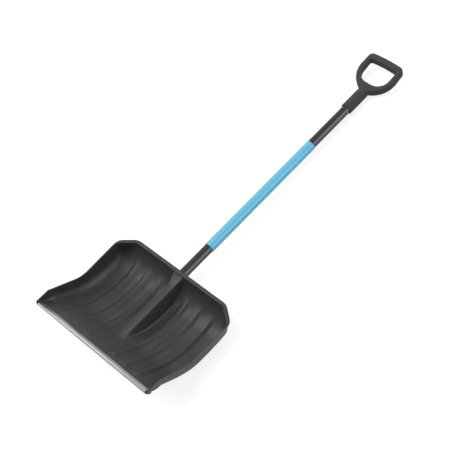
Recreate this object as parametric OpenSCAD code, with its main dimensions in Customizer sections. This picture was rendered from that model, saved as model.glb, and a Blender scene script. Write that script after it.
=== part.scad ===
// Snow shovel: ribbed moulded scoop with an aluminium edge strip, sleeved tube and D-handle.
// It lies scoop up on the floor, X across, Y along the tube to the handle, Z up.
// Pieces are drawn in the tube's own frame, axis on Y, and laid on the floor by lay_down().

/* [Scoop] */
// Width over the side walls
scoop_w = 470; // [420:2:540]
// Wall thickness of the moulding
wall = 3.6; // [3:0.1:4.4]
// Angle of the flat front floor to the tube
front_angle = 43.5; // [40:0.5:47]
// Length of the flat front floor
front_len = 121.5; // [105:0.5:135]
// Radius of the floor's front curve
front_r = 224; // [205:1:245]
// Length of the flat bottom
bottom_len = 26; // [15:1:40]
// Radius of the rear curve
rear_r = 90; // [84:1:96]
// Angle of the rear wall at its top
rear_angle = 78; // [74:0.5:80]
// Slope of the side wall's top edge towards the front
side_slope = 33.7; // [31:0.1:36]
// Distance from the front edge to the kink in the side wall's top edge
kink_len = 66; // [58:1:74]
// Radius that rounds the side wall's top edge
side_round_r = 80; // [50:1:110]
// Radius between floor and side wall
fillet_r = 42; // [34:1:46]
// Draft of the side walls
side_draft = 2.5; // [1:0.5:4]
// How far the side walls lean out at the rear corners
side_flare = 3.3; // [0:0.1:5]
// Cut of a rear corner, across, as a share of the width
corner_share = 0.112; // [0.098:0.001:0.124]
// Cut of a rear corner, along
corner_y = 40; // [35:1:45]
// Radius that rounds the ends of this cut
corner_r = 26; // [18:1:32]

/* [Floor ribs] */
// Height of a flute at its step
flute_h = 4; // [2:0.5:6]
// Distance of the first step from the middle, as a share of the width
flute_first_share = 0.1535; // [0.148:0.0005:0.16]
// Distance between steps, as a share of the width
flute_pitch_share = 0.105; // [0.098:0.001:0.107]
// Width of a step
step_w = 12; // [8:0.5:15]
// Length over which the flutes run out at the front
flute_run = 24; // [20:1:36]

/* [Ridge] */
// Half width of the ridge's flat top
ridge_top = 11.5; // [10:0.5:15]
// Height of the ridge's top over the axis of the tube
ridge_h = 4; // [0:0.5:8]
// Draft of the ridge's sides
ridge_draft = 13; // [9:1:15]
// Radius at the foot of the ridge
ridge_foot = 9; // [7:1:14]

/* [Rim lip] */
// Width of the turned lip
lip_w = 8; // [5:0.5:11]
// Thickness of the lip
lip_t = 3.2; // [2.4:0.1:4]
// Gap between the lip and the tube under it
lip_gap = 2.2; // [1.4:0.1:4]

/* [Edge strip] */
// Metal thickness
strip_t = 2.2; // [1.6:0.1:2.8]
// Depth of its flanges
strip_depth = 16; // [12:0.5:20]
// Width of the plastic corner at each end
strip_corner = 10; // [8:0.5:14]

/* [Tube] */
// Outer diameter
tube_d = 32; // [28:0.5:36]
// Wall thickness
tube_t = 1.6; // [1.2:0.1:2.5]
// Visible tube between scoop and sleeve
tube_low = 122; // [80:1:180]
// Visible tube between sleeve and handle
tube_high = 185; // [120:1:240]
// Length of the sleeve
sleeve_len = 496; // [380:1:600]
// Wall thickness of the sleeve
sleeve_t = 1.5; // [1:0.1:2.5]
// Length of the spigot inside the tube
spigot_len = 110; // [90:1:115]
// Wall thickness of the spigot
spigot_t = 4.5; // [3:0.5:6]

/* [Handle] */
// Wall thickness of the socket
socket_t = 4; // [3:0.5:6]
// Length of the socket
socket_len = 76; // [60:1:100]
// Depth to which the tube enters
socket_depth = 70; // [50:1:74]
// Tilt of the grip against the tube
grip_tilt = 8.5; // [5:0.5:12]
// Thickness of the grip
grip_t = 30.5; // [26:0.5:35]
// Half width of the grip at its end
grip_w = 68; // [60:0.5:74]
// Swell of the arms over the end of the grip
grip_bulge = 6; // [4:0.5:10]
// Length of the grip from the end of the socket
grip_len = 158; // [140:1:165]
// Depth of the cross bar
bar_t = 24.5; // [18:0.5:28]
// Width of an arm at the cross bar
arm_t = 14; // [11:0.5:18]
// Foot of the hand opening from the end of the socket
hand_foot = 47.5; // [42:0.5:52]

/* [Screws] */
// Head diameter
head_d = 9; // [7:0.5:11]
// Head height
head_h = 2.6; // [2:0.1:3.5]
// Shank diameter
shank_d = 4.2; // [3.5:0.1:5]

/* [Hidden] */
$fn = 64;
// Gap between pieces that fit together
fit = 0.15;
// How far fused forms reach into each other
weld = 1.2;

// Colours
plastic_black = [0.13, 0.13, 0.135];
plastic_grey = [0.2, 0.2, 0.205];
strip_grey = [0.78, 0.79, 0.8];
tube_black = [0.16, 0.16, 0.165];
sleeve_blue = [0.33, 0.7, 0.86];
screw_steel = [0.6, 0.6, 0.6];

// Tube stations along the axis; zero is the outer edge of the rear lip
tube_gap = 4.5;
tube_start = -tube_gap;
sleeve_start = tube_low;
sleeve_end = sleeve_start + sleeve_len;
socket_start = sleeve_end + tube_high;
socket_end = socket_start + socket_len;
tube_end = socket_start + socket_depth;
tube_r = tube_d / 2;
socket_r = tube_r + fit + socket_t;

// Floor profile: front flat, front arc, flat bottom, rear arc, anchored at the top of the rear wall
edge_drop = 0.6;
rim_h = tube_r + lip_gap + lip_t + edge_drop;
rear_y = -lip_w - wall;
rear_cy = rear_y - rear_r * sin(rear_angle);
rear_cz = rim_h - edge_drop + rear_r * cos(rear_angle);
bottom_z = rear_cz - rear_r;
front_cy = rear_cy - bottom_len;
front_cz = bottom_z + front_r;
bend_y = front_cy - front_r * sin(front_angle);
bend_z = front_cz - front_r * cos(front_angle);
edge_y = bend_y - front_len * cos(front_angle);
edge_z = bend_z + front_len * sin(front_angle);

// Side wall top edge
inner_w = scoop_w / 2 - wall;
tip_lift = 3;
kink_y = edge_y + kink_len * cos(front_angle);
kink_z = edge_z + tip_lift;
slope_foot_y = kink_y + (kink_z - rim_h) / tan(side_slope);
side_round = side_round_r * tan(side_slope / 2);
side_fillet_share = 0.55;
tip_fillet = strip_corner - wall - 1;
fillet_run = 75;
level_start = slope_foot_y + side_round;
corner_x = corner_share * scoop_w;
cut_turn = atan2(corner_x, corner_y);
corner_start = rear_y - corner_y - corner_r * tan(cut_turn / 2);
corner_row = asin((corner_start - rear_cy) / rear_r);
corner_h = rim_h - rear_cz + rear_r * cos(corner_row);
corner_wall = corner_h - min(fillet_r, side_fillet_share * corner_h);
cut_start = corner_start + corner_r * sin(cut_turn);
cut_end = rear_y - corner_r * (1 - sin(cut_turn));
arc_steps = 3;
cut_steps = 3;
corner_rows = concat([for (k = [1:arc_steps]) corner_start + corner_r * sin(cut_turn * k / arc_steps)],
                     [for (k = [1:cut_steps]) cut_start + (cut_end - cut_start) * k / cut_steps],
                     [for (k = [1:arc_steps])
                         rear_y - corner_r * (1 - sin(cut_turn + (90 - cut_turn) * k / arc_steps))]);
lip_taper = 0.5;
lip_run = lip_taper * (rear_y - corner_start);
lip_root = 0.25;

// Flutes
flute_count = 3;
flute_first = flute_first_share * scoop_w;
flute_pitch = flute_pitch_share * scoop_w;
flute_last = flute_first + (flute_count - 1) * flute_pitch;
flute_gap = 8;
flute_start = strip_depth + flute_gap;
outer_flat = 4;
flute_fade = [18, 50];
flute_flat = 0.25;
band_marks = [0, 0.35, 0.7];
step_marks = [0, 0.3, 0.7, 1];

// Ridge: rounding of its edges, flare at the rear wall, and how its underside follows it
ridge_edge = 1.5;
ridge_crown = 0.97;
foot_bend = 0.3;
flare_len = 30;
flare_rise = 8;
under_top = [0, 0, -1];
under_shoulder = [-0.4, 0, -0.92];
under_edge = [-0.7, 0, -0.72];
under_side = [-1, 0, -0.1];

// Rows of the scoop: place along the profile [y, z, slope]
ramp_marks = [0, 0.3, 0.65, 1];
front_marks = concat([0], [for (m = ramp_marks) flute_start + flute_run * m],
                     [kink_len, (kink_len + front_len) / 2]);
front_steps = 8;
ridge_row = -min(acos((front_cz - ridge_h) / front_r), front_angle - 2);
rear_rows = concat([for (k = [1:4]) corner_row * k / 4],
                   [for (y = corner_rows) asin((y - rear_cy) / rear_r)]);
rows = concat(
    [for (a = front_marks) [edge_y + a * cos(front_angle), edge_z - a * sin(front_angle), -front_angle]],
    [for (q = concat([-front_angle], [for (k = [0:front_steps]) ridge_row * (1 - k / front_steps)]))
        [front_cy + front_r * sin(q), front_cz - front_r * cos(q), q]],
    [[rear_cy, bottom_z, 0]],
    [for (q = rear_rows) [rear_cy + rear_r * sin(q), rear_cz - rear_r * cos(q), q]]);

// Edge strip and the plastic corners at its ends
strip_reach = fit + strip_t;
nose_cut = 0.8;
corner_lift = 0.6;
tip_round = 9;
tip_low = wall + strip_reach / 2;

// Spigot inside the tube, with its root on the back of the rear wall
spigot_r = tube_r - tube_t - fit;
root_bite = 0.8;
root_r = tube_r + lip_gap + root_bite;
root_back = tube_start - 2 * fit;
root_len = 30;
root_front = rear_y - root_len;

// Grip
hand_w = grip_w - arm_t;
grip_round = 6;
grip_corner_r = 17;
hand_corner_r = 8;
elbow_y = 40;
elbow_r = 88;
hand_elbow_r = 42;
foot_y = 12;
bar_bow = 3;
hand_taper = 2.5;
hand_bow = 1;
grip_axis_z = -1.5;
neck_r = 12;
neck_len = 38;
mouth_cut = 1;
corner_steps = 5;
elbow_steps = 8;
bar_marks = [0, 0.33, 0.67];
round_share = 0.8;
round_marks = [0:30:90];
neck_marks = [15:15:90];

// Screws
blade_screw_y = spigot_len / 2;
handle_screw_y = socket_start + socket_depth / 2;
seat_depth = 2;
screw_end = 3;
head_flat = 0.3;
head_side = 0.45;

// Laying the part down: it rests on its belly and on the end of the socket
belly_r = rear_r + wall;
rest_dy = socket_end - rear_cy;
rest_dz = -socket_r - rear_cz;
rest_tilt = atan2(rest_dz, rest_dy) + asin(belly_r / norm([rest_dy, rest_dz]));
rest_drop = rear_cz * cos(rest_tilt) - rear_cy * sin(rest_tilt) - belly_r;
nose_low = wall + strip_reach - nose_cut;
nose_y = edge_y - strip_reach * cos(front_angle) - nose_low * sin(front_angle);
nose_z = edge_z + strip_reach * sin(front_angle) - nose_low * cos(front_angle);
grip_lean = grip_tilt - rest_tilt;
bar_end = (grip_len - grip_round) * cos(grip_lean) + (grip_t / 2 - grip_round) * sin(grip_lean) + grip_round;
front_end = nose_y * cos(rest_tilt) + nose_z * sin(rest_tilt);
back_end = socket_end * cos(rest_tilt) + grip_axis_z * sin(rest_tilt) + bar_end;
middle_y = (front_end + back_end) / 2;

module lay_down() {
    translate([0, -middle_y, -rest_drop])
        rotate([-rest_tilt, 0, 0])
            children();
}

// Lays a form drawn along Z on the axis of the tube
module along_tube(start) {
    translate([0, start, 0])
        rotate([-90, 0, 0])
            children();
}

function clamp01(v) = max(0, min(1, v));
function smooth01(v) = let (c = clamp01(v)) c * c * (3 - 2 * c);
function unit(v) = v / norm(v);

// Height of the side wall's top edge at y
function slope_z(y) = rim_h + (slope_foot_y - y) * tan(side_slope);
function round_z(y) =
    rim_h + pow(max(0, slope_foot_y + side_round - y), 2) / (4 * side_round) * tan(side_slope);
function side_z(y) =
    y > slope_foot_y - side_round ? round_z(y)
    : y > kink_y ? slope_z(y)
    : kink_z;

// Rear corners in plan: a straight cut with a rounding at each end. How far the wall has turned at y,
// how far the cut takes it in, the inner half width of the scoop and the outward direction of its wall
function corner_turn(y) =
    y < cut_start ? asin(clamp01((y - corner_start) / corner_r))
    : y < cut_end ? cut_turn
    : asin(clamp01((y - rear_y) / corner_r + 1));
function corner_in(y) =
    y < cut_start ? corner_r * (1 - cos(corner_turn(y)))
    : y < cut_end ? corner_r * (1 - cos(cut_turn)) + (y - cut_start) * tan(cut_turn)
    : corner_x + corner_r * (tan((90 - cut_turn) / 2) - cos(corner_turn(y)));
function side_lean(y) = side_flare * clamp01((y - level_start) / (corner_start - level_start));
function half_w(y) = inner_w + side_lean(y) - corner_in(y);
function wall_dir(y) = [cos(corner_turn(y)), sin(corner_turn(y))];

// How far the flutes have risen at a row
function flute_share(r) =
    smooth01(((r[0] - edge_y) / cos(front_angle) - flute_start) / flute_run)
    * smooth01((flute_fade[1] - r[2]) / (flute_fade[1] - flute_fade[0]));

// Height of the ridge over the floor at a row, and half the width of its top, flared at the rear wall
function flare(r) = clamp01((r[0] - rear_y) / flare_len + 1);
function ridge_up(r) = max(0, ridge_h + flare_rise * pow(flare(r), 2) - r[1]);
function ridge_half(r) = ridge_top + (tube_r - ridge_top) * smooth01(flare(r));

// One half of a row, from the middle outwards: [x, lift, rise off the floor, outward direction]
function floor_dir(r) = [0, sin(r[2]), -cos(r[2])];
function blend_dir(a, b, t) = a * (1 - t) + b * t;
function ridge_part(r) =
    let (h = ridge_up(r), t = clamp01(h / (2 * wall)), d = floor_dir(r), w = ridge_half(r))
    let (foot = min(ridge_foot, h / 2), side = w + ridge_edge + (h - foot) * tan(ridge_draft))
    [[0, h, 0, blend_dir(d, under_top, t)],
     [w - ridge_edge, h, 0, blend_dir(d, under_shoulder, t)],
     [w, h * ridge_crown, 0, blend_dir(d, under_edge, t)],
     [side, foot, 0, blend_dir(d, under_side, t)],
     [side + foot_bend * ridge_foot, foot_bend * foot, 0, blend_dir(d, under_edge, t)],
     [side + ridge_foot, 0, 0, d]];
function band_part(r, from, to) =
    let (h = flute_share(r) * flute_h, d = floor_dir(r), high = to - step_w)
    let (flat = from + (high - from) * flute_flat)
    concat([for (m = band_marks) [flat + (high - flat) * m, 0, h * smooth01(m), d]],
           [for (m = step_marks) [high + step_w * m, 0, h * (1 - smooth01(m)), d]]);
fillet_marks = [0:22.5:90];
function wall_h(r) = side_z(r[0]) - r[1];
function wall_rad(r) =
    let (back = (r[0] - edge_y) / cos(front_angle))
    let (grow = smooth01((back - flute_start - weld) / fillet_run))
    min(tip_fillet + (fillet_r - tip_fillet) * grow, side_fillet_share * wall_h(r));
function wall_foot(r) =
    half_w(r[0]) - (wall_h(r) - wall_rad(r)) * (tan(side_draft) + side_lean(r[0]) / corner_wall);
function flute_squeeze(r) = min(1, (wall_foot(r) - wall_rad(r) - outer_flat) / flute_last);
function wall_part(r, from) =
    let (top = wall_h(r), rad = wall_rad(r), foot = wall_foot(r), d = floor_dir(r))
    let (w = [wall_dir(r[0])[0], wall_dir(r[0])[1], 0])
    concat([[(from + foot - rad) / 2, 0, 0, d]],
           [for (q = fillet_marks)
               [foot - rad * (1 - sin(q)), rad * (1 - cos(q)), 0, unit(d * cos(q) + w * sin(q))]],
           [[half_w(r[0]), top, 0, w]]);
function half_row(r) =
    let (ridge = ridge_part(r), start = ridge[5][0], s = flute_squeeze(r))
    let (first = s * flute_first, pitch = s * flute_pitch)
    concat(ridge,
           band_part(r, start, first),
           [for (k = [1:flute_count - 1]) each band_part(r, first + (k - 1) * pitch, first + k * pitch)],
           wall_part(r, s * flute_last));

function inner_point(r, c, side) =
    [side * c[0], r[0] - c[2] * sin(r[2]), r[1] + c[2] * cos(r[2]) + c[1]];
function outer_point(r, c, side) =
    inner_point(r, c, side) + wall * [side * c[3][0], c[3][1], c[3][2]];
function full_row(r, out) =
    let (half = half_row(r), n = len(half))
    concat([for (k = [n - 1:-1:1]) out ? outer_point(r, half[k], -1) : inner_point(r, half[k], -1)],
           [for (k = [0:n - 1]) out ? outer_point(r, half[k], 1) : inner_point(r, half[k], 1)]);

// Closed shell between the inner and the outer grid
module scoop_shell() {
    inner = [for (r = rows) full_row(r, false)];
    outer = [for (r = rows) full_row(r, true)];
    n = len(inner[0]);
    m = len(rows);
    half = n * m;
    points = concat([for (g = inner) each g], [for (g = outer) each g]);
    function quad(a, b, c, d) = [[a, b, c], [a, c, d]];
    top = [for (i = [0:m - 2], j = [0:n - 2])
        each quad(i * n + j, (i + 1) * n + j, (i + 1) * n + j + 1, i * n + j + 1)];
    under = [for (f = top) [f[0] + half, f[2] + half, f[1] + half]];
    sides = [for (i = [0:m - 2])
        let (a = i * n, b = a + n, c = b - 1, d = c + n)
        each concat(quad(a, a + half, b + half, b), quad(c, d, d + half, c + half))];
    last = (m - 1) * n;
    ends = [for (j = [0:n - 2])
        each concat(quad(j, j + 1, j + 1 + half, j + half),
                    quad(last + j, last + j + half, last + j + 1 + half, last + j + 1))];
    polyhedron(points, concat(top, under, sides, ends), convexity = 10);
}

// Plan outline of the wall's top round one rear corner, at a distance outside the wall's inner face
// and widened towards the rear
function rim_path(out, more) =
    [for (y = concat([corner_start], corner_rows))
        [half_w(y), y] + (out + more * smooth01((y - corner_start) / lip_run)) * wall_dir(y)];

module rim_lip() {
    near = rim_path(lip_root * wall, 0);
    far = rim_path((1 - lip_root) * wall, lip_w + lip_root * wall);
    last = len(near) - 1;
    translate([0, 0, rim_h - edge_drop - lip_t])
        linear_extrude(lip_t)
            polygon(concat(near, [for (k = [last:-1:0]) [-near[k][0], near[k][1]]],
                           [for (p = far) [-p[0], p[1]]], [for (k = [last:-1:0]) far[k]]));
}

// Draws a profile in the plane of the front floor: x back from the edge, y over the floor
module front_profile(from, to) {
    translate([from, edge_y, edge_z])
        rotate([-front_angle, 0, 0])
            rotate([90, 0, 90])
                linear_extrude(to - from)
                    children();
}

// Plastic corner that closes the end of the strip
module front_corner(side) {
    from = side > 0 ? scoop_w / 2 - strip_corner + fit : -scoop_w / 2;
    difference() {
        front_profile(from, from + strip_corner - fit)
            polygon([[-strip_reach, -tip_low + 2 * nose_cut],
                     [-strip_reach + 2 * nose_cut, -tip_low],
                     [strip_depth, -tip_low],
                     [strip_depth + 2 * strip_reach, -wall / 2],
                     [0, corner_lift],
                     [-strip_reach, -nose_cut]]);
        translate([side * (scoop_w / 2 - tip_round), edge_y, edge_z])
            rotate([-front_angle, 0, 0])
                translate([0, tip_round - strip_reach, -tip_round - wall])
                    linear_extrude(2 * tip_round + wall)
                        difference() {
                            translate([side * tip_round, -tip_round])
                                square(2 * tip_round, center = true);
                            circle(tip_round);
                        }
    }
}

// Round spigot on the back of the rear wall, and the root that carries it
module spigot() {
    difference() {
        union() {
            along_tube(root_front)
                cylinder(r = root_r, h = root_back - root_front);
            along_tube(root_back - weld)
                cylinder(r = spigot_r, h = spigot_len + weld);
        }
        translate([-tube_d, rear_cy, rear_cz])
            rotate([0, 90, 0])
                cylinder(r = rear_r + wall / 2, h = 2 * tube_d, $fn = 128);
        along_tube(root_back)
            cylinder(r = spigot_r - spigot_t, h = spigot_len + weld);
        screw_hole(blade_screw_y);
    }
}

// Hole for a screw from the underside, up to the axis of the tube
module screw_hole(y) {
    translate([0, y, -2 * tube_d])
        cylinder(d = shank_d + 2 * fit, h = 2 * tube_d);
}

// Screw with its seat at z = 0, head down
module screw(length) {
    rotate_extrude()
        polygon([[0, -head_h], [head_d * head_flat, -head_h], [head_d / 2, -head_h * head_side],
                 [head_d / 2, 0], [shank_d / 2, 0], [shank_d / 2, length], [0, length]]);
}

// Points on the rounding of corner b between a and c
function corner_arc(a, b, c, r, n) =
    let (u = (a - b) / norm(a - b), v = (c - b) / norm(c - b), half = acos(u * v) / 2)
    let (o = b + (u + v) / norm(u + v) * r / sin(half), p = b + u * r / tan(half) - o)
    let (q = b + v * r / tan(half) - o, from = atan2(p[1], p[0]), to = atan2(q[1], q[0]))
    let (turn = to - from > 180 ? to - from - 360 : to - from < -180 ? to - from + 360 : to - from)
    [for (k = [0:n]) o + r * [cos(from + turn * k / n), sin(from + turn * k / n)]];

// Half outline of the D, from the middle of the cross bar round to the middle of its foot
function d_half(top, corner, corner_r, elbow, elbow_r, foot) =
    let (first = corner_arc([0, top], corner, elbow, corner_r, corner_steps))
    let (second = corner_arc(corner, elbow, foot, elbow_r, elbow_steps))
    concat([for (m = bar_marks) [first[0][0] * m, top + (first[0][1] - top) * m * m]],
           first, [(first[corner_steps] + second[0]) / 2],
           second, [(second[elbow_steps] + foot) / 2, foot]);
function d_loop(half) =
    concat(half, [for (k = [len(half) - 2:-1:1]) [-half[k][0], half[k][1]]]);

// Rounded section between an inner and an outer point of the D
function d_section(a, b) =
    let (e = norm(b - a) / 2, u = (b - a) / (2 * e), m = (a + b) / 2, h = grip_t / 2)
    let (r = min(grip_round, round_share * e))
    [for (k = [0:3], q = round_marks)
        let (sx = (k == 0 || k == 3) ? 1 : -1, sz = k < 2 ? 1 : -1)
        let (x = sx * (e - r) + r * cos(90 * k + q), z = sz * (h - r) + r * sin(90 * k + q))
        [m[0] + u[0] * x, m[1] + u[1] * x, z]];

// D-shaped ring of the grip, with Y along the grip from the end of the socket
module grip_ring() {
    outer = d_loop(d_half(grip_len, [grip_w, grip_len - bar_bow], grip_corner_r,
                          [grip_w + grip_bulge, elbow_y], elbow_r, [0, foot_y]));
    inner = d_loop(d_half(grip_len - bar_t, [hand_w, grip_len - bar_t - bar_bow], hand_corner_r,
                          [hand_w - hand_taper, hand_foot + hand_bow], hand_elbow_r, [0, hand_foot]));
    count = len(outer);
    sections = [for (k = [0:count - 1]) d_section(inner[k], outer[k])];
    n = len(sections[0]);
    faces = [for (i = [0:count - 1], j = [0:n - 1])
        let (a = i * n + j, b = i * n + (j + 1) % n, c = ((i + 1) % count) * n)
        each [[a, c + (j + 1) % n, b], [a, c + j, c + (j + 1) % n]]];
    polyhedron([for (g = sections) each g], faces, convexity = 8);
}

// Round socket with a rounded mouth, drawn in to the foot of the D
module socket_body() {
    rotate_extrude()
        polygon(concat([[0, 0], [socket_r - mouth_cut, 0], [socket_r, mouth_cut], [socket_r, socket_len]],
                       [for (q = neck_marks) [neck_r + (socket_r - neck_r) * cos(q),
                                              socket_len + neck_len * sin(q)]],
                       [[0, socket_len + neck_len]]));
}

module blade() {
    color(plastic_black)
        lay_down() {
            union() {
                scoop_shell();
                rim_lip();
                front_corner(1);
                front_corner(-1);
                spigot();
            }
        }
}

module edge_strip() {
    half = scoop_w / 2 - strip_corner;
    color(strip_grey)
        lay_down()
            front_profile(-half, half)
                difference() {
                    polygon([[-strip_reach, -wall - strip_reach + nose_cut],
                             [-strip_reach + nose_cut, -wall - strip_reach],
                             [strip_depth, -wall - strip_reach],
                             [strip_depth, strip_reach],
                             [-strip_reach + nose_cut, strip_reach],
                             [-strip_reach, strip_reach - nose_cut]]);
                    translate([-fit, -wall - fit])
                        square([2 * strip_depth, wall + 2 * fit]);
                }
}

module shaft_tube() {
    color(tube_black)
        lay_down()
            difference() {
                along_tube(tube_start)
                    cylinder(r = tube_r, h = tube_end - tube_start);
                along_tube(tube_start - weld)
                    cylinder(r = tube_r - tube_t, h = tube_end - tube_start + 2 * weld);
                screw_hole(blade_screw_y);
                screw_hole(handle_screw_y);
            }
}

module grip_sleeve() {
    color(sleeve_blue)
        lay_down()
            along_tube(sleeve_start)
                difference() {
                    cylinder(r = tube_r + fit + sleeve_t, h = sleeve_len);
                    translate([0, 0, -weld])
                        cylinder(r = tube_r + fit, h = sleeve_len + 2 * weld);
                }
}

module d_handle() {
    color(plastic_grey)
        lay_down()
            difference() {
                union() {
                    along_tube(socket_start)
                        socket_body();
                    translate([0, socket_end, grip_axis_z])
                        rotate([grip_tilt, 0, 0])
                            grip_ring();
                }
                along_tube(socket_start - weld)
                    cylinder(r = tube_r + fit, h = socket_depth + fit + weld);
                screw_hole(handle_screw_y);
                translate([0, handle_screw_y, -2 * socket_r])
                    cylinder(d = head_d + 4 * fit, h = socket_r + seat_depth);
            }
}

module blade_screw() {
    color(screw_steel)
        lay_down()
            translate([0, blade_screw_y, -tube_r - fit])
                screw(tube_t + spigot_t + screw_end);
}

module handle_screw() {
    color(screw_steel)
        lay_down()
            translate([0, handle_screw_y, -socket_r + seat_depth - fit])
                screw(socket_t - seat_depth + tube_t + screw_end);
}

blade();
edge_strip();
shaft_tube();
grip_sleeve();
d_handle();
blade_screw();
handle_screw();
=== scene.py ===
import math

import bmesh
import bpy
from mathutils import Matrix, Vector


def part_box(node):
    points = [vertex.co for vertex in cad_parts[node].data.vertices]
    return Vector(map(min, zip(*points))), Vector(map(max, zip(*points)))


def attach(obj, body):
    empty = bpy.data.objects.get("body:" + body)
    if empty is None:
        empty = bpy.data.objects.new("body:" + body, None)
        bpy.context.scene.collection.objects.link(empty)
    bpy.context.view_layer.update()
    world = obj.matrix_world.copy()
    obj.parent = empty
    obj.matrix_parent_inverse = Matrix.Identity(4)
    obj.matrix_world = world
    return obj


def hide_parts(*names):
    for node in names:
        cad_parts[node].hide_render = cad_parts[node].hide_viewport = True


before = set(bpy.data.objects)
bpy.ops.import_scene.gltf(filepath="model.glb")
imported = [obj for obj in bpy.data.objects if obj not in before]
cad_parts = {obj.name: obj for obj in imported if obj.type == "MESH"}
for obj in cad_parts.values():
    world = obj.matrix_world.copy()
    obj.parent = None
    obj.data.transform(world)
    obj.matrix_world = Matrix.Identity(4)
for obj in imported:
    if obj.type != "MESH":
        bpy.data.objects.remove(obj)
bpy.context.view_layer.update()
print("frame loaded:", len(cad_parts), "nodes")

mm = 0.001
weldMm, weldMetres = 1e-4, 1e-6    # points closer than this are merged


# Small helpers for angles in degrees and for easing
def sind(angle):
    return math.sin(math.radians(angle))


def cosd(angle):
    return math.cos(math.radians(angle))


def tand(angle):
    return math.tan(math.radians(angle))


def clamp(value, low=0.0, high=1.0):
    return max(low, min(high, value))


def ease(value):
    value = clamp(value)
    return value * value * (3 - 2 * value)


def mix(a, b, share):
    return a + (b - a) * share


# Sizes in millimetres, in the tube's own frame: the tube's axis is Y, with zero at the rear edge of the lip
scoop = {
    "width": 470, "wall": 3.6,
    "frontAngle": 43.5, "frontLength": 121.5, "frontRadius": 224,    # flat front floor, then its curve
    "bottomLength": 26, "rearRadius": 90, "rearAngle": 78,
    "sideSlope": 33.7, "kinkLength": 66, "tipLift": 3, "sideRound": 80,    # top edge of the side walls
    "fillet": 42, "filletShare": 0.55, "tipFillet": 5.4, "filletStart": 28, "filletRun": 75, "draft": 2.5,
    "cornerAcross": 52.64, "cornerAlong": 40, "cornerRadius": 26, "flare": 3.3,    # cut rear corners
    "lipWidth": 8, "lipThick": 3.2, "lipGap": 2.2, "lipRound": 1.1, "lipTaper": 0.5, "lipRoot": 0.25,
    "edgeDrop": 0.6, "rimRound": 1.1, "rimSteps": 2, "rimAngle": 60,
}
tube = {"diameter": 32, "wall": 1.6, "gap": 4.5, "low": 122, "high": 185, "segments": 96, "chamfer": 0.5}
sleeve = {"length": 496, "wall": 1.5, "fit": 0.15, "endRound": 0.9, "endSteps": 4}
socket = {"wall": 4, "length": 76, "depth": 70, "mouth": 1, "neckRadius": 12, "neckLength": 38,
          "neckSteps": 9, "segments": 72}

# Places that follow from these sizes
tubeR = tube["diameter"] / 2
socketR = tubeR + sleeve["fit"] + socket["wall"]
sleeveStart = tube["low"]
sleeveEnd = sleeveStart + sleeve["length"]
socketStart = sleeveEnd + tube["high"]
socketEnd = socketStart + socket["length"]
rimZ = tubeR + scoop["lipGap"] + scoop["lipThick"] + scoop["edgeDrop"]
rearY = -scoop["lipWidth"] - scoop["wall"]
rearCy = rearY - scoop["rearRadius"] * sind(scoop["rearAngle"])
rearCz = rimZ - scoop["edgeDrop"] + scoop["rearRadius"] * cosd(scoop["rearAngle"])
bottomZ = rearCz - scoop["rearRadius"]
frontCy = rearCy - scoop["bottomLength"]
frontCz = bottomZ + scoop["frontRadius"]
edgeY = (frontCy - scoop["frontRadius"] * sind(scoop["frontAngle"])
         - scoop["frontLength"] * cosd(scoop["frontAngle"]))
edgeZ = (frontCz - scoop["frontRadius"] * cosd(scoop["frontAngle"])
         + scoop["frontLength"] * sind(scoop["frontAngle"]))
kinkY = edgeY + scoop["kinkLength"] * cosd(scoop["frontAngle"])
slopeFoot = kinkY + (edgeZ + scoop["tipLift"] - rimZ) / tand(scoop["sideSlope"])
slopeReach = scoop["sideRound"] * tand(scoop["sideSlope"] / 2)
levelStart = slopeFoot + slopeReach
cutTurn = math.degrees(math.atan2(scoop["cornerAcross"], scoop["cornerAlong"]))
cornerStart = rearY - scoop["cornerAlong"] - scoop["cornerRadius"] * tand(cutTurn / 2)
cornerHigh = rimZ - rearCz + math.sqrt(scoop["rearRadius"] ** 2 - (cornerStart - rearCy) ** 2)
cornerWall = cornerHigh - min(scoop["fillet"], scoop["filletShare"] * cornerHigh)
cutStart = cornerStart + scoop["cornerRadius"] * sind(cutTurn)
cutEnd = rearY - scoop["cornerRadius"] * (1 - sind(cutTurn))

# How the shovel lies: on the belly of the scoop and on the end of the socket
bellyR = scoop["rearRadius"] + scoop["wall"]
lieY, lieZ = socketEnd - rearCy, -socketR - rearCz
lieTilt = math.atan2(lieZ, lieY) + math.asin(bellyR / math.hypot(lieY, lieZ))
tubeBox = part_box("shaft_tube")
tubeMiddle = (socketStart + socket["depth"] - tube["gap"]) / 2
tubeCentre = (tubeBox[0] + tubeBox[1]) / 2
layDown = (Matrix.Translation(tubeCentre) @ Matrix.Rotation(-lieTilt, 4, "X")
           @ Matrix.Translation((0, -tubeMiddle * mm, 0)))


def laid(x, y, z):
    return layDown @ Vector((x * mm, y * mm, z * mm))


def layAll(bm):
    bmesh.ops.transform(bm, matrix=layDown @ Matrix.Scale(mm, 4), verts=bm.verts[:])


# Turns a bmesh into an object that rides on the shovel
def addPiece(name, bm, material, sharp=38, nodes=()):
    bmesh.ops.remove_doubles(bm, verts=bm.verts[:], dist=weldMetres)
    bmesh.ops.recalc_face_normals(bm, faces=bm.faces[:])
    for face in bm.faces:
        face.smooth = True
    for edge in bm.edges:
        edge.smooth = edge.calc_face_angle(0) < math.radians(sharp)
    mesh = bpy.data.meshes.new(name)
    bm.to_mesh(mesh)
    bm.free()
    piece = bpy.data.objects.new(name, mesh)
    bpy.context.scene.collection.objects.link(piece)
    piece.data.materials.append(material)
    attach(piece, "root")
    if nodes:
        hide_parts(*nodes)
    return piece


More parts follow.
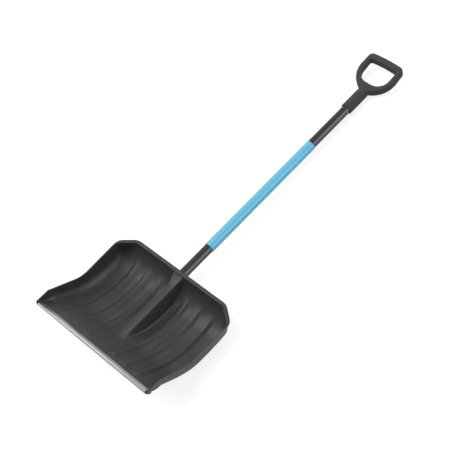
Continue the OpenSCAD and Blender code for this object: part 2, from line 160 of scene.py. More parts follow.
# Spins a half profile of (radius, along) points round the tube's axis
def spinProfile(bm, profile, segments):
    points = [bm.verts.new((radius, along, 0)) for radius, along in profile]
    edges = [bm.edges.new(pair) for pair in zip(points, points[1:])]
    bmesh.ops.spin(bm, geom=points + edges, cent=(0, 0, 0), axis=(0, 1, 0), angle=math.tau,
                   steps=segments, use_merge=True)
    bmesh.ops.remove_doubles(bm, verts=bm.verts[:], dist=weldMm)


# Closed block: a face through the points, extruded along a way
def extrudeOutline(bm, points, way):
    face = bm.faces.new([bm.verts.new(point) for point in points])
    grown = bmesh.ops.extrude_face_region(bm, geom=[face], use_keep_orig=True)
    moved = [v for v in grown["geom"] if isinstance(v, bmesh.types.BMVert)]
    bmesh.ops.translate(bm, verts=moved, vec=way)
    bmesh.ops.recalc_face_normals(bm, faces=bm.faces[:])


def roundEdges(bm, edges, width, segments):
    bmesh.ops.bevel(bm, geom=edges, offset=width, offset_type="OFFSET", affect="EDGES",
                    segments=segments, profile=0.5, material=-1, clamp_overlap=True)


# Points on an arc, for outlines and profiles
def arcPoints(centre, radius, fromAngle, toAngle, steps):
    return [(centre[0] + radius * cosd(mix(fromAngle, toAngle, k / steps)),
             centre[1] + radius * sind(mix(fromAngle, toAngle, k / steps))) for k in range(steps + 1)]


# Materials: the nodes that they share
def nodeLink(tree, fromNode, fromName, toNode, toName):
    tree.links.new(fromNode.outputs[fromName], toNode.inputs[toName])


def mathNode(tree, operation):
    node = tree.nodes.new("ShaderNodeMath")
    node.operation = operation
    return node


def noiseNode(tree, detail, rough, scale=1.0):
    node = tree.nodes.new("ShaderNodeTexNoise")
    node.inputs["Scale"].default_value = scale
    node.inputs["Detail"].default_value = detail
    node.inputs["Roughness"].default_value = rough
    return node


def rangeNode(tree, fromRange, toRange=(0.0, 1.0)):
    node = tree.nodes.new("ShaderNodeMapRange")
    ends = zip(("From Min", "From Max", "To Min", "To Max"), (*fromRange, *toRange))
    for name, value in ends:
        node.inputs[name].default_value = value
    return node


def newGroup(name, inputs, outputs):
    group = bpy.data.node_groups.new(name, "ShaderNodeTree")
    for inOut, sockets in (("INPUT", inputs), ("OUTPUT", outputs)):
        for socketName, kind in sockets.items():
            group.interface.new_socket(name=socketName, in_out=inOut, socket_type="NodeSocket" + kind)
    return group, group.nodes.new("NodeGroupInput"), group.nodes.new("NodeGroupOutput")


# Grain of moulded plastic or powder coat: a fine height and a slow cloud, both from 0 to 1
def makeGrainGroup():
    inputs = {"Vector": "Vector", "Fine Scale": "Float", "Cloud Scale": "Float"}
    group, start, end = newGroup("mouldGrain", inputs, {"Height": "Float", "Cloud": "Float"})
    grain = noiseNode(group, detail=2.0, rough=0.6)
    cloud = noiseNode(group, detail=5.0, rough=0.6)
    for node, scaleName in ((grain, "Fine Scale"), (cloud, "Cloud Scale")):
        nodeLink(group, start, "Vector", node, "Vector")
        nodeLink(group, start, scaleName, node, "Scale")
    nodeLink(group, grain, "Fac", end, "Height")
    nodeLink(group, cloud, "Fac", end, "Cloud")
    return group


# Fine scuffs: thin streaks along one direction, broken up by a slow noise
scuffShape = {"streaks": (0.56, 0.72), "patches": (0.48, 0.68), "patchScale": 22.0}


def makeScuffGroup():
    group, start, end = newGroup("fineScuffs", {"Vector": "Vector", "Stretch": "Vector"}, {"Mask": "Float"})
    stretch = group.nodes.new("ShaderNodeVectorMath")
    stretch.operation = "MULTIPLY"
    nodeLink(group, start, "Vector", stretch, 0)
    nodeLink(group, start, "Stretch", stretch, 1)
    streaks = noiseNode(group, detail=3.0, rough=0.7)
    nodeLink(group, stretch, "Vector", streaks, "Vector")
    breaks = noiseNode(group, detail=3.0, rough=0.6, scale=scuffShape["patchScale"])
    nodeLink(group, start, "Vector", breaks, "Vector")
    thin = rangeNode(group, scuffShape["streaks"])
    nodeLink(group, streaks, "Fac", thin, "Value")
    patches = rangeNode(group, scuffShape["patches"])
    nodeLink(group, breaks, "Fac", patches, "Value")
    product = mathNode(group, "MULTIPLY")
    nodeLink(group, thin, "Result", product, 0)
    nodeLink(group, patches, "Result", product, 1)
    nodeLink(group, product, "Value", end, "Mask")
    return group


grainGroup = makeGrainGroup()
scuffGroup = makeScuffGroup()
finishBase = {"ior": 1.46, "specular": 0.5, "metallic": 0.0, "cloudRange": (0.3, 0.7)}


def groupNode(tree, group, where):
    node = tree.nodes.new("ShaderNodeGroup")
    node.node_tree = group
    nodeLink(tree, where, "Object", node, "Vector")
    return node


def colourMix(tree):
    node = tree.nodes.new("ShaderNodeMix")
    node.data_type = "RGBA"
    return node


# One finish: two tones clouded together, roughness between two values, grain as bump, faint scuffs
def makeFinish(name, changes):
    look = {**finishBase, **changes}
    material = bpy.data.materials.new(name)
    material.use_nodes = True
    tree = material.node_tree
    shader = tree.nodes["Principled BSDF"]
    shader.inputs["Metallic"].default_value = look["metallic"]
    shader.inputs["IOR"].default_value = look["ior"]
    shader.inputs["Specular IOR Level"].default_value = look["specular"]
    where = tree.nodes.new("ShaderNodeTexCoord")
    grain = groupNode(tree, grainGroup, where)
    grain.inputs["Fine Scale"].default_value = look["grainScale"]
    grain.inputs["Cloud Scale"].default_value = look["cloudScale"]
    scuffs = groupNode(tree, scuffGroup, where)
    scuffs.inputs["Stretch"].default_value = look["scuffStretch"]

    tone = colourMix(tree)
    tone.inputs["A"].default_value = (*look["dark"], 1)
    tone.inputs["B"].default_value = (*look["light"], 1)
    nodeLink(tree, grain, "Cloud", tone, "Factor")
    worn = colourMix(tree)
    worn.inputs["B"].default_value = (*look["scuffTone"], 1)
    wear = mathNode(tree, "MULTIPLY")
    wear.inputs[1].default_value = look["scuffs"]
    nodeLink(tree, scuffs, "Mask", wear, 0)
    nodeLink(tree, wear, "Value", worn, "Factor")
    nodeLink(tree, tone, "Result", worn, "A")
    nodeLink(tree, worn, "Result", shader, "Base Color")

    rough = rangeNode(tree, look["cloudRange"], look["rough"])
    nodeLink(tree, grain, "Cloud", rough, "Value")
    nodeLink(tree, rough, "Result", shader, "Roughness")

    bump = tree.nodes.new("ShaderNodeBump")
    bump.inputs["Strength"].default_value = look["bump"]
    bump.inputs["Distance"].default_value = look["bumpDepth"]
    nodeLink(tree, grain, "Height", bump, "Height")
    nodeLink(tree, bump, "Normal", shader, "Normal")
    return material


scoopPlastic = makeFinish("scoopPlastic", {
    "dark": (0.026, 0.026, 0.027), "light": (0.034, 0.034, 0.035), "rough": (0.46, 0.54), "specular": 0.45,
    "grainScale": 1500, "cloudScale": 12, "bump": 0.25, "bumpDepth": 0.0002,
    "scuffs": 0.12, "scuffTone": (0.07, 0.07, 0.072), "scuffStretch": (260, 9, 40)})
edgeMetal = makeFinish("edgeMetal", {
    "metallic": 1.0, "dark": (0.46, 0.465, 0.47), "light": (0.53, 0.535, 0.54), "rough": (0.3, 0.42),
    "grainScale": 900, "cloudScale": 30, "bump": 0.15, "bumpDepth": 0.0001,
    "scuffs": 0.5, "scuffTone": (0.3, 0.303, 0.306), "scuffStretch": (8, 700, 700)})
tubeCoat = makeFinish("tubeCoat", {
    "dark": (0.022, 0.022, 0.0225), "light": (0.027, 0.027, 0.0275), "rough": (0.2, 0.26),
    "grainScale": 700, "cloudScale": 20, "bump": 0.3, "bumpDepth": 0.0002,
    "scuffs": 0.1, "scuffTone": (0.08, 0.08, 0.082), "scuffStretch": (300, 10, 300)})
sleevePlastic = makeFinish("sleevePlastic", {
    "dark": (0.096, 0.42, 0.607), "light": (0.119, 0.456, 0.642), "rough": (0.22, 0.28),
    "grainScale": 1200, "cloudScale": 16, "bump": 0.15, "bumpDepth": 0.0002,
    "scuffs": 0.12, "scuffTone": (0.24, 0.55, 0.72), "scuffStretch": (320, 8, 320)})
handlePlastic = makeFinish("handlePlastic", {
    "dark": (0.043, 0.043, 0.044), "light": (0.053, 0.053, 0.054), "rough": (0.55, 0.63), "specular": 0.12,
    "grainScale": 1300, "cloudScale": 18, "bump": 0.3, "bumpDepth": 0.0002,
    "scuffs": 0.12, "scuffTone": (0.08, 0.08, 0.082), "scuffStretch": (60, 240, 60)})
screwSteel = makeFinish("screwSteel", {
    "metallic": 1.0, "dark": (0.5, 0.5, 0.51), "light": (0.6, 0.6, 0.61), "rough": (0.3, 0.4),
    "grainScale": 1500, "cloudScale": 120, "bump": 0.1, "bumpDepth": 0.0001,
    "scuffs": 0.3, "scuffTone": (0.35, 0.35, 0.36), "scuffStretch": (500, 500, 60)})
print("materials ready")

# Scoop: rows follow the floor's profile as (y, z, slope), columns run from wall to wall
rowCounts = {"front": 30, "bend": 48, "bottom": 5, "rear": 24, "cornerRound": 10, "cornerCut": 14}
columnCounts = {"top": 5, "edge": 5, "side": 6, "foot": 8, "band": 14, "step": 6,
                "outer": 7, "fillet": 14, "wall": 9}
flutes = {"count": 3, "height": 5, "first": 72.145, "pitch": 49.35, "step": 12, "start": 28, "run": 14,
          "fadeFrom": 18, "fadeTo": 50, "flat": 0.25, "outerFlat": 4}
fluteEnd = flutes["first"] + (flutes["count"] - 1) * flutes["pitch"]
ridge = {"half": 11.5, "top": 4, "draft": 13, "foot": 9, "edge": 1.5, "round": 3, "roundShare": 0.4,
         "flareLength": 44, "riseLength": 46, "rise": 16, "riseCurve": 1.8, "endHalf": 18.5,
         "groove": 1.3, "grooveShare": 0.1, "underCurve": 3}


def frontRow(back):
    angle = scoop["frontAngle"]
    return (edgeY + back * cosd(angle), edgeZ - back * sind(angle), -angle)


def arcRow(centreY, centreZ, radius, angle):
    return (centreY + radius * sind(angle), centreZ - radius * cosd(angle), angle)


# Slope of the floor's rear curve at y
def rearSlope(y):
    return math.degrees(math.asin((y - rearCy) / scoop["rearRadius"]))


# Places along the tube of the rows round a rear corner: a rounding, the straight cut, a rounding
def cornerRows():
    radius, bend, cut = scoop["cornerRadius"], rowCounts["cornerRound"], rowCounts["cornerCut"]
    rows = [cornerStart + radius * sind(cutTurn * k / bend) for k in range(bend)]
    rows += [mix(cutStart, cutEnd, k / cut) for k in range(cut)]
    return rows + [rearY - radius * (1 - sind(mix(cutTurn, 90, k / bend))) for k in range(bend + 1)]


def floorRows():
    front, bend, bottom, rear = (rowCounts[name] for name in ("front", "bend", "bottom", "rear"))
    rows = [frontRow(scoop["frontLength"] * k / front) for k in range(front)]
    rows += [arcRow(frontCy, frontCz, scoop["frontRadius"], -scoop["frontAngle"] * (1 - k / bend))
             for k in range(bend)]
    rows += [(mix(frontCy, rearCy, k / bottom), bottomZ, 0) for k in range(bottom)]
    slopes = [rearSlope(cornerStart) * k / rear for k in range(rear)] + [rearSlope(y) for y in cornerRows()]
    return rows + [arcRow(rearCy, rearCz, scoop["rearRadius"], slope) for slope in slopes]


# Height of the side wall's top edge at y: level rear rim, rounded rise, slope, level tip
def sideTop(y):
    if y > slopeFoot - slopeReach:
        return rimZ + max(0, levelStart - y) ** 2 / (4 * slopeReach) * tand(scoop["sideSlope"])
    return rimZ + (slopeFoot - max(y, kinkY)) * tand(scoop["sideSlope"])


# Rear corners in plan: how far the wall has turned at y, and how far the cut takes it in
def cornerTurn(y):
    if cutStart <= y < cutEnd:
        return cutTurn
    start = cornerStart if y < cutStart else rearY - scoop["cornerRadius"]
    return math.degrees(math.asin(clamp((y - start) / scoop["cornerRadius"])))


def cornerIn(y):
    radius = scoop["cornerRadius"]
    if y < cutStart:
        return radius * (1 - cosd(cornerTurn(y)))
    if y < cutEnd:
        return radius * (1 - cosd(cutTurn)) + (y - cutStart) * tand(cutTurn)
    return scoop["cornerAcross"] + radius * (tand((90 - cutTurn) / 2) - cosd(cornerTurn(y)))


def sideLean(y):
    return scoop["flare"] * clamp((y - levelStart) / (cornerStart - levelStart))


def rimHalf(y):
    return scoop["width"] / 2 - scoop["wall"] + sideLean(y) - cornerIn(y)


def wallDirection(y):
    return Vector((cosd(cornerTurn(y)), sind(cornerTurn(y)), 0))


# Columns of one half, from the middle outwards, as (zone, share of the zone, number of the flute)
def halfColumns():
    def zone(name, number=0):
        return [(name, (k + 1) / columnCounts[name], number) for k in range(columnCounts[name])]
    columns = [("top", 0.0, 0)] + zone("top") + zone("edge") + zone("side") + zone("foot")
    for number in range(flutes["count"]):
        columns += zone("band", number) + zone("step", number)
    return columns + zone("outer") + zone("fillet") + zone("wall")


# Section of the ridge at a place on the floor: half its top, its height, foot and edge, where its side ends
def ridgeShape(y, z):
    flare = clamp((y - rearY) / ridge["flareLength"] + 1)
    rising = clamp((y - rearY) / ridge["riseLength"] + 1)
    half = mix(ridge["half"], ridge["endHalf"], ease(flare))
    height = max(0, ridge["top"] + ridge["rise"] * rising ** ridge["riseCurve"] - z)
    foot = min(ridge["foot"], height / 2)
    edge = min(ridge["round"], ridge["roundShare"] * height)
    return half, height, foot, edge, half + ridge["edge"] + (height - foot) * tand(ridge["draft"])


# Side wall at a place on the floor: its height, the fillet at its foot and the foot's place across
def wallShape(y, z):
    top = sideTop(y) - z
    back = (y - edgeY) / cosd(scoop["frontAngle"])
    grown = ease((back - scoop["filletStart"]) / scoop["filletRun"])
    fillet = min(mix(scoop["tipFillet"], scoop["fillet"], grown), scoop["filletShare"] * top)
    lean = tand(scoop["draft"]) + sideLean(y) / cornerWall
    return top, fillet, rimHalf(y) - (top - fillet) * lean


# How far the flutes have risen at a row: none at the front, full on the floor, fading up the rear curve
def fluteShare(row):
    back = (row[0] - edgeY) / cosd(scoop["frontAngle"])
    fade = (flutes["fadeTo"] - row[2]) / (flutes["fadeTo"] - flutes["fadeFrom"])
    return ease((back - flutes["start"]) / flutes["run"]) * ease(fade)


# Ways to the outside under the hollow ridge
underTop, underShoulder = Vector((0, 0, -1)), Vector((-0.4, 0, -0.92))
underEdge, underSide = Vector((-0.7, 0, -0.72)), Vector((-1, 0, -0.1))


# One point of a half row: place across, lift straight up, rise square to the floor, way to the outside
def ridgePoint(row, zone, share, down):
    half, height, foot, edge, sideX = ridgeShape(row[0], row[1])
    bend = 90 - ridge["draft"]
    if zone == "top":
        sunk = min(ridge["groove"], ridge["grooveShare"] * height) * (1 - ease(share))
        across, lift = (half - edge) * share, height - sunk
        under = underTop.lerp(underShoulder, share ** ridge["underCurve"])
    elif zone == "edge":
        across, lift = half - edge + edge * sind(bend * share), height - edge * (1 - cosd(bend * share))
        under = underShoulder.lerp(underEdge, share)
    elif zone == "side":
        across = mix(half - edge + edge * sind(bend), sideX, share)
        lift = mix(height - edge * (1 - cosd(bend)), foot, share)
        under = underEdge.lerp(underSide, share)
    else:
        across, lift = sideX + ridge["foot"] * (1 - cosd(90 * share)), foot * (1 - sind(90 * share))
        under = underSide.lerp(down, ease(share))
    hollow = clamp(height / (2 * scoop["wall"]))
    return across, lift, 0, down.lerp(under, hollow)


def crossPoint(row, column):
    zone, share, number = column
    y, z, slope = row
    down = Vector((0, sind(slope), -cosd(slope)))
    if zone in ("top", "edge", "side", "foot"):
        return ridgePoint(row, zone, share, down)
    top, fillet, footX = wallShape(y, z)
    squeeze = min(1, (footX - fillet - flutes["outerFlat"]) / fluteEnd)    # inside the rounded rear corners
    if zone in ("band", "step"):
        outer = (flutes["first"] + number * flutes["pitch"]) * squeeze
        inner = outer - flutes["pitch"] * squeeze if number else ridgeShape(y, z)[-1] + ridge["foot"]
        crest = outer - flutes["step"]
        high = fluteShare(row) * flutes["height"]
        if zone == "step":
            return mix(crest, outer, share), 0, high * (1 - ease(share)), down
        return mix(inner, crest, share), 0, high * ease((share - flutes["flat"]) / (1 - flutes["flat"])), down
    if zone == "outer":
        return mix(fluteEnd * squeeze, footX - fillet, share), 0, 0, down
    out = wallDirection(y)
    if zone == "fillet":
        turn = 90 * share
        return (footX - fillet * (1 - sind(turn)), fillet * (1 - cosd(turn)), 0,
                (down * cosd(turn) + out * sind(turn)).normalized())
    return mix(footX, rimHalf(y), share), mix(fillet, top, share), 0, out


def scoopPoint(row, column, hand, outside):
    across, lift, rise, out = crossPoint(row, column)
    point = Vector((across, row[0] - rise * sind(row[2]), row[1] + rise * cosd(row[2]) + lift))
    if outside:
        point += out * scoop["wall"]
    return laid(point.x * hand, point.y, point.z)


def makeScoop():
    rows = floorRows()
    half = halfColumns()
    columns = [(-1, c) for c in half[:0:-1]] + [(1, c) for c in half]
    across, along = len(columns) - 1, len(rows) - 1
    bm = bmesh.new()
    bmesh.ops.create_grid(bm, x_segments=across, y_segments=along, size=1)
    columnOf = bm.verts.layers.int.new("column")
    rowOf = bm.verts.layers.int.new("row")
    for vert in bm.verts:
        vert[columnOf] = round((vert.co.x + 1) / 2 * across)
        vert[rowOf] = round((vert.co.y + 1) / 2 * along)
    thick = bmesh.ops.extrude_face_region(bm, geom=bm.faces[:], use_keep_orig=True)
    outer = {v for v in thick["geom"] if isinstance(v, bmesh.types.BMVert)}
    for vert in bm.verts:
        hand, column = columns[vert[columnOf]]
        vert.co = scoopPoint(rows[vert[rowOf]], column, hand, vert in outer)
    piece = addPiece("scoop", bm, scoopPlastic, nodes=["blade"])
    rounding = piece.modifiers.new("rimRound", "BEVEL")
    rounding.width = scoop["rimRound"] * mm
    rounding.segments = scoop["rimSteps"]
    rounding.limit_method = "ANGLE"
    rounding.angle_limit = math.radians(scoop["rimAngle"])


# Plan outline of the rim round both corners, at a distance outside the wall's inner face, widened to the rear
def rimPath(out, more):
    half = []
    for y in cornerRows():
        grown = ease((y - cornerStart) / (scoop["lipTaper"] * (rearY - cornerStart)))
        way = wallDirection(y) * (out + more * grown)
        half.append((rimHalf(y) + way.x, y + way.y))
    return half + [(-x, y) for x, y in reversed(half)]


def makeRimLip():
    root = scoop["lipRoot"] * scoop["wall"]
    outline = rimPath(root, 0) + rimPath(scoop["wall"] - root, scoop["lipWidth"] + root)[::-1]
    base = rimZ - scoop["edgeDrop"] - scoop["lipThick"]
    bm = bmesh.new()
    extrudeOutline(bm, [(x, y, base) for x, y in outline], (0, 0, scoop["lipThick"] + scoop["edgeDrop"]))
    roundEdges(bm, bm.edges[:], scoop["lipRound"], 3)
    layAll(bm)
    addPiece("rimLip", bm, scoopPlastic)


# Strip on the front edge and the plastic corners beside it, in the plane of the front floor
strip = {"thick": 2.2, "depth": 16, "noseCut": 0.8, "bevel": 0.35,
         "corner": 10, "cornerOver": 0.6, "tipRound": 9, "tipSteps": 8, "tipSoft": 0.8}
stripReach = sleeve["fit"] + strip["thick"]


# A place in that plane: how far back from the front edge, and how far over the floor
def frontPlace(x, back, over):
    angle = scoop["frontAngle"]
    return (x, edgeY + back * cosd(angle) + over * sind(angle),
            edgeZ - back * sind(angle) + over * cosd(angle))


def makeEdgeStrip():
    wall, fit, cut = scoop["wall"], sleeve["fit"], strip["noseCut"]
    halfLength = scoop["width"] / 2 - strip["corner"]
    profile = [(-stripReach, -wall - stripReach + cut), (-stripReach + cut, -wall - stripReach),
               (strip["depth"], -wall - stripReach), (strip["depth"], -wall - fit), (-fit, -wall - fit),
               (-fit, fit), (strip["depth"], fit), (strip["depth"], stripReach),
               (-stripReach + cut, stripReach), (-stripReach, stripReach - cut)]
    end = [frontPlace(-halfLength, back, over) for back, over in profile]
    bm = bmesh.new()
    extrudeOutline(bm, end, (2 * halfLength, 0, 0))
    roundEdges(bm, bm.edges[:], strip["bevel"], 2)
    layAll(bm)
    addPiece("edgeStrip", bm, edgeMetal, nodes=["edge_strip"])


# A plate with a rounded tip
def makeFrontCorner(name, hand):
    outerX = scoop["width"] / 2
    innerX = outerX - strip["corner"] + sleeve["fit"]
    low, high = -scoop["wall"] - stripReach / 2, strip["cornerOver"]
    tip = strip["tipRound"]
    plan = [(innerX, -stripReach)]
    plan += arcPoints((outerX - tip, tip - stripReach), tip, -90, 0, strip["tipSteps"])
    plan += [(outerX, strip["depth"]), (innerX, strip["depth"])]
    bm = bmesh.new()
    extrudeOutline(bm, [(hand * x, back, low) for x, back in plan], (0, 0, high - low))
    rims = [e for e in bm.edges if abs(e.verts[0].co.z - e.verts[1].co.z) < weldMm]
    roundEdges(bm, rims, strip["tipSoft"], 3)
    tilt = Matrix.Rotation(math.radians(-scoop["frontAngle"]), 4, "X")
    bmesh.ops.transform(bm, matrix=Matrix.Translation((0, edgeY, edgeZ)) @ tilt, verts=bm.verts[:])
    layAll(bm)
    addPiece(name, bm, scoopPlastic)


# Root of the spigot on the back of the rear wall, and the spigot inside the tube
spigot = {"rootLength": 30, "bite": 0.8, "chamfer": 1.5, "length": 110, "wall": 4.5, "segments": 64}


def makeSpigot():
    rootR = tubeR + scoop["lipGap"] + spigot["bite"]
    rootFront, rootBack = rearY - spigot["rootLength"], -tube["gap"] - 2 * sleeve["fit"]
    spigotR, spigotEnd = tubeR - tube["wall"] - sleeve["fit"], rootBack + spigot["length"]
    wallR = scoop["rearRadius"] + scoop["wall"] / 2
    cut = spigot["chamfer"]
    profile = [(0, rootFront), (rootR, rootFront), (rootR, rootBack - cut), (rootR - cut, rootBack),
               (spigotR, rootBack), (spigotR, spigotEnd), (0, spigotEnd)]
    bm = bmesh.new()
    spinProfile(bm, profile, spigot["segments"])
    for vert in bm.verts:
        if vert.co.y < rearY:    # the front end follows the curved wall
            vert.co.y = rearCy + math.sqrt(wallR ** 2 - (vert.co.z - rearCz) ** 2)
    layAll(bm)
    addPiece("spigotRoot", bm, scoopPlastic)


makeScoop()
makeRimLip()
makeEdgeStrip()
makeFrontCorner("frontCornerLeft", -1)
makeFrontCorner("frontCornerRight", 1)
makeSpigot()
print("scoop modelled")


# Tube and sleeve
def makeTube():
    start, end, cut = -tube["gap"], socketStart + socket["depth"], tube["chamfer"]
    inner = tubeR - tube["wall"]
    profile = [(inner, start), (tubeR - cut, start), (tubeR, start + cut), (tubeR, end),
               (inner, end), (inner, start)]
    bm = bmesh.new()
    spinProfile(bm, profile, tube["segments"])
    layAll(bm)
    addPiece("shaftTube", bm, tubeCoat, nodes=["shaft_tube"])


def makeSleeve():
    inner = tubeR + sleeve["fit"]
    outer = inner + sleeve["wall"]
    soft, steps = sleeve["endRound"], sleeve["endSteps"]
    profile = [(inner, sleeveStart), (outer - soft, sleeveStart)]
    profile += arcPoints((outer - soft, sleeveStart + soft), soft, -90, 0, steps)[1:]
    profile += arcPoints((outer - soft, sleeveEnd - soft), soft, 0, 90, steps)
    profile += [(inner, sleeveEnd), (inner, sleeveStart)]
    bm = bmesh.new()
    spinProfile(bm, profile, tube["segments"])
    layAll(bm)
    addPiece("gripSleeve", bm, sleevePlastic, nodes=["grip_sleeve"])


makeTube()
makeSleeve()
print("tube and sleeve modelled")

# D-handle: outline in the grip's own plane, Y along the grip from the end of the socket
grip = {"tilt": 8.5, "thick": 30.5, "half": 68, "bulge": 6, "length": 158, "bar": 24.5, "arm": 14,
        "round": 6, "roundShare": 0.8, "corner": 17, "elbow": 40, "elbowRadius": 88, "foot": 12, "barBow": 3,
        "handFoot": 47.5, "handCorner": 8, "handElbowRadius": 42, "handTaper": 2.5, "handBow": 1,
        "axisDrop": -1.5, "sectionSteps": 40, "voxel": 0.9, "softening": 8, "softenFactor": 0.5}
gripSteps = {"bar": 10, "corner": 14, "arm": 6, "elbow": 20, "foot": 6}


# Points on the rounding of corner b between a and c
def cornerArc(a, b, c, radius, steps):
    toA, toC = (a - b).normalized(), (c - b).normalized()
    halfAngle = math.acos(clamp(toA.dot(toC), -1, 1)) / 2
    centre = b + (toA + toC).normalized() * radius / math.sin(halfAngle)
    first = b + toA * radius / math.tan(halfAngle) - centre
    last = b + toC * radius / math.tan(halfAngle) - centre
    start = math.atan2(first.y, first.x)
    turn = math.remainder(math.atan2(last.y, last.x) - start, math.tau)
    return [centre + Vector((math.cos(start + turn * k / steps), math.sin(start + turn * k / steps))) * radius
            for k in range(steps + 1)]


# Half outline of the D from the middle of the cross bar to the middle of its foot
def halfD(top, corner, cornerRadius, elbow, elbowRadius, foot):
    bars, arms, feet = gripSteps["bar"], gripSteps["arm"], gripSteps["foot"]
    first = cornerArc(Vector((0, top)), corner, elbow, cornerRadius, gripSteps["corner"])
    second = cornerArc(corner, elbow, foot, elbowRadius, gripSteps["elbow"])
    bar = [Vector((first[0].x * k / bars, top + (first[0].y - top) * (k / bars) ** 2)) for k in range(bars)]
    arm = [first[-1].lerp(second[0], k / arms) for k in range(1, arms)]
    base = [second[-1].lerp(foot, k / feet) for k in range(1, feet + 1)]
    return bar + first + arm + second + base


def wholeD(half):
    return half + [Vector((-p.x, p.y)) for p in half[-2:0:-1]]


# Rounded section between an inner and an outer point, share from 0 to 1 round it
def sectionPoint(inner, outer, share):
    reach = (outer - inner).length / 2
    out = (outer - inner).normalized()
    high = grip["thick"] / 2
    radius = min(grip["round"], grip["roundShare"] * reach)
    side = int(share * 4) % 4
    angle = 90 * (share * 4)
    signX = 1 if side in (0, 3) else -1
    signZ = 1 if side < 2 else -1
    middle = (inner + outer) / 2
    across = signX * (reach - radius) + radius * cosd(angle)
    flat = middle + out * across
    return Vector((flat.x, flat.y, signZ * (high - radius) + radius * sind(angle)))


def addGrip(bm):
    handHalf = grip["half"] - grip["arm"]
    barInner = grip["length"] - grip["bar"]
    outer = wholeD(halfD(
        grip["length"], Vector((grip["half"], grip["length"] - grip["barBow"])), grip["corner"],
        Vector((grip["half"] + grip["bulge"], grip["elbow"])), grip["elbowRadius"],
        Vector((0, grip["foot"]))))
    inner = wholeD(halfD(
        barInner, Vector((handHalf, barInner - grip["barBow"])), grip["handCorner"],
        Vector((handHalf - grip["handTaper"], grip["handFoot"] + grip["handBow"])), grip["handElbowRadius"],
        Vector((0, grip["handFoot"]))))
    around, section = len(outer), grip["sectionSteps"]
    bmesh.ops.create_grid(bm, x_segments=around, y_segments=section, size=1)
    for vert in bm.verts:
        k = round((vert.co.x + 1) / 2 * around) % around
        share = (round((vert.co.y + 1) / 2 * section) % section) / section
        vert.co = sectionPoint(inner[k], outer[k], share)
    bmesh.ops.remove_doubles(bm, verts=bm.verts[:], dist=weldMm)
    tilt = Matrix.Rotation(math.radians(grip["tilt"]), 4, "X")
    toSocket = Matrix.Translation((0, socketEnd, grip["axisDrop"]))
    bmesh.ops.transform(bm, matrix=toSocket @ tilt, verts=bm.verts[:])


def addSocket(bm):
    mouth, steps = socket["mouth"], socket["neckSteps"]
    profile = [(0, socketStart), (socketR - mouth, socketStart), (socketR, socketStart + mouth),
               (socketR, socketEnd)]
    for k in range(1, steps + 1):
        angle = 90 * k / steps
        profile.append((mix(socket["neckRadius"], socketR, cosd(angle)),
                        socketEnd + socket["neckLength"] * sind(angle)))
    profile.append((0, socketEnd + socket["neckLength"]))
    spinProfile(bm, profile, socket["segments"])


def makeHandle():
    bm = bmesh.new()
    addGrip(bm)
    addSocket(bm)
    layAll(bm)
    piece = addPiece("dHandle", bm, handlePlastic, sharp=180, nodes=["d_handle"])
    fuse = piece.modifiers.new("fuse", "REMESH")    # makes one moulding of the grip and the socket
    fuse.mode = "VOXEL"
    fuse.voxel_size = grip["voxel"] * mm
    fuse.use_smooth_shade = True
    soften = piece.modifiers.new("soften", "SMOOTH")
    soften.factor = grip["softenFactor"]
    soften.iterations = grip["softening"]


makeHandle()
print("handle modelled")

# Screws: domed head with a cross recess, seen from below
screwHead = {"diameter": 9, "height": 2.6, "shank": 4.2, "past": 3, "seat": 2, "segments": 72,
             "dome": ((0.6, 1), (0.88, 0.75), (1, 0.35)),    # shares of the radius and of the height
             "recess": 2.2, "slot": 0.6, "recessDepth": 1.5, "recessTaper": 0.75}


# Distance from the middle to the outline of the cross
def crossReach(angle):
    tiny = 1e-6    # keeps the divisions off zero
    along, over = max(abs(cosd(angle)), tiny), max(abs(sind(angle)), tiny)
    long, half = screwHead["recess"], screwHead["slot"]
    return max(min(long / along, half / over), min(long / over, half / along))


def openEdges(bm):
    return [edge for edge in bm.edges if edge.is_boundary]


# Cross recess in the open top of a head: a circle drawn in to a cross, joined to the head, pushed in, closed
def addRecess(bm, level):
    taper, segments = screwHead["recessTaper"], screwHead["segments"]
    rim = openEdges(bm)
    cross = bmesh.ops.create_circle(bm, cap_ends=False, segments=segments, radius=1)["verts"]
    for vert in cross:
        reach = crossReach(math.degrees(math.atan2(vert.co.y, vert.co.x)))
        vert.co = (vert.co.x * reach, level, vert.co.y * reach)
    outline = list({edge for vert in cross for edge in vert.link_edges})
    bmesh.ops.bridge_loops(bm, edges=rim + outline)
    pushed = bmesh.ops.extrude_edge_only(bm, edges=outline)["geom"]
    deep = [v for v in pushed if isinstance(v, bmesh.types.BMVert)]
    bmesh.ops.scale(bm, verts=deep, vec=(taper, 1, taper))
    bmesh.ops.translate(bm, verts=deep, vec=(0, screwHead["recessDepth"], 0))
    bmesh.ops.holes_fill(bm, edges=openEdges(bm), sides=segments)


def makeScrew(name, along, seat, length, node):
    headR, shankR, high = screwHead["diameter"] / 2, screwHead["shank"] / 2, screwHead["height"]
    profile = [(headR * wide, -high * deep) for wide, deep in screwHead["dome"]]
    profile += [(headR, 0), (shankR, 0), (shankR, length), (0, length)]
    bm = bmesh.new()
    spinProfile(bm, profile, screwHead["segments"])
    addRecess(bm, -high)
    upright = Matrix.Rotation(math.radians(90), 3, "X")
    bmesh.ops.rotate(bm, cent=(0, 0, 0), matrix=upright, verts=bm.verts[:])
    bmesh.ops.translate(bm, verts=bm.verts[:], vec=(0, along, seat))
    layAll(bm)
    addPiece(name, bm, screwSteel, nodes=[node])


makeScrew("bladeScrew", spigot["length"] / 2, -tubeR - sleeve["fit"],
          tube["wall"] + spigot["wall"] + screwHead["past"], "blade_screw")
makeScrew("handleScrew", socketStart + socket["depth"] / 2, -socketR + screwHead["seat"] - sleeve["fit"],
          socket["wall"] - screwHead["seat"] + tube["wall"] + screwHead["past"], "handle_screw")
print("screws modelled")

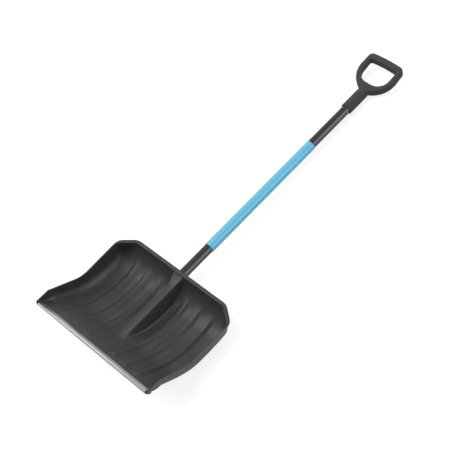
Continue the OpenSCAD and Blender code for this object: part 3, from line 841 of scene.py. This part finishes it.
# Floor, light and camera
studio = {"floorSize": 200, "floorTone": 0.35, "floorLift": 0.75, "ambient": 0.52}
white = (1, 1, 1, 1)


# Rays that show the background: the camera's, and those mirrored by or sent through the shovel
def backdropRays(tree):
    path = tree.nodes.new("ShaderNodeLightPath")
    mirrored = mathNode(tree, "MAXIMUM")
    nodeLink(tree, path, "Is Glossy Ray", mirrored, 0)
    nodeLink(tree, path, "Is Transmission Ray", mirrored, 1)
    shown = mathNode(tree, "MAXIMUM")
    nodeLink(tree, path, "Is Camera Ray", shown, 0)
    nodeLink(tree, mirrored, "Value", shown, 1)
    return shown


def makeFloor():
    bm = bmesh.new()
    bmesh.ops.create_grid(bm, x_segments=1, y_segments=1, size=studio["floorSize"] / 2)
    mesh = bpy.data.meshes.new("floor")
    bm.to_mesh(mesh)
    bm.free()
    floor = bpy.data.objects.new("floor", mesh)
    bpy.context.scene.collection.objects.link(floor)
    material = bpy.data.materials.new("paleFloor")
    material.use_nodes = True
    tree = material.node_tree
    shader = tree.nodes["Principled BSDF"]
    shader.inputs["Base Color"].default_value = (studio["floorTone"],) * 3 + (1,)
    shader.inputs["Roughness"].default_value = 1.0
    shader.inputs["Specular IOR Level"].default_value = 0.0
    shader.inputs["Emission Color"].default_value = white
    lift = mathNode(tree, "MULTIPLY")
    lift.inputs[1].default_value = studio["floorLift"]
    nodeLink(tree, backdropRays(tree), "Value", lift, 0)
    nodeLink(tree, lift, "Value", shader, "Emission Strength")
    mesh.materials.append(material)


def makeWorld():
    world = bpy.data.worlds.new("studio")
    bpy.context.scene.world = world
    world.use_nodes = True
    background = world.node_tree.nodes["Background"]
    background.inputs["Color"].default_value = white
    background.inputs["Strength"].default_value = studio["ambient"]


# Sizes and places in metres, power in watts
def addSoftbox(name, at, aim, size, power, highlightOnly=False):
    lamp = bpy.data.lights.new(name, "AREA")
    lamp.shape = "RECTANGLE"
    lamp.size, lamp.size_y = size
    lamp.energy = power
    box = bpy.data.objects.new(name, lamp)
    box.location = at
    box.rotation_euler = (Vector(aim) - Vector(at)).to_track_quat("-Z", "Y").to_euler()
    box.visible_diffuse = not highlightOnly
    bpy.context.scene.collection.objects.link(box)


makeFloor()
makeWorld()
addSoftbox("keySoftbox", at=(-3.75, -1.8, 7.0), aim=(0, -0.3, 0), size=(5.6, 5.5), power=430)
addSoftbox("leftSoftbox", at=(-5.0, -1.5, 2.9), aim=(0, -0.4, 0.05), size=(2.4, 2.4), power=80)
addSoftbox("rearSoftbox", at=(-2.5, 4.8, 2.5), aim=(0, -0.4, 0.05), size=(2.8, 2.4), power=50)
addSoftbox("sideSoftbox", at=(4.56, 1.94, 2.39), aim=(0, 0, 0.05), size=(4.0, 4.2), power=90)
addSoftbox("sideStrip", at=(4.6, 1.96, 2.41), aim=(0, 0, 0.05), size=(4.0, 4.2), power=130,
           highlightOnly=True)

# Camera at the photograph's angle, in the tube's frame; the shift is half of one of the picture's 450 pixels
cameraView = {"at": (1418.9, -870.1, 2667.9), "look": (-0.44557, 0.33715, -0.82934),
              "top": (-0.50697, 0.66851, 0.54414), "angle": 24.744, "shift": 0.5 / 450}


def makeCamera():
    data = bpy.data.cameras.new("camera")
    data.sensor_fit = "HORIZONTAL"
    data.angle = math.radians(cameraView["angle"])
    data.shift_x, data.shift_y = -cameraView["shift"], cameraView["shift"]
    camera = bpy.data.objects.new("camera", data)
    turn = layDown.to_3x3()
    look, top = turn @ Vector(cameraView["look"]).normalized(), turn @ Vector(cameraView["top"])
    right = look.cross(top).normalized()
    axes = Matrix((right, right.cross(look), -look)).transposed()
    camera.matrix_world = Matrix.Translation(laid(*cameraView["at"])) @ axes.to_4x4()
    bpy.context.scene.collection.objects.link(camera)
    bpy.context.scene.camera = camera


makeCamera()
bpy.context.scene.view_settings.view_transform = "Standard"
print("studio and camera set")
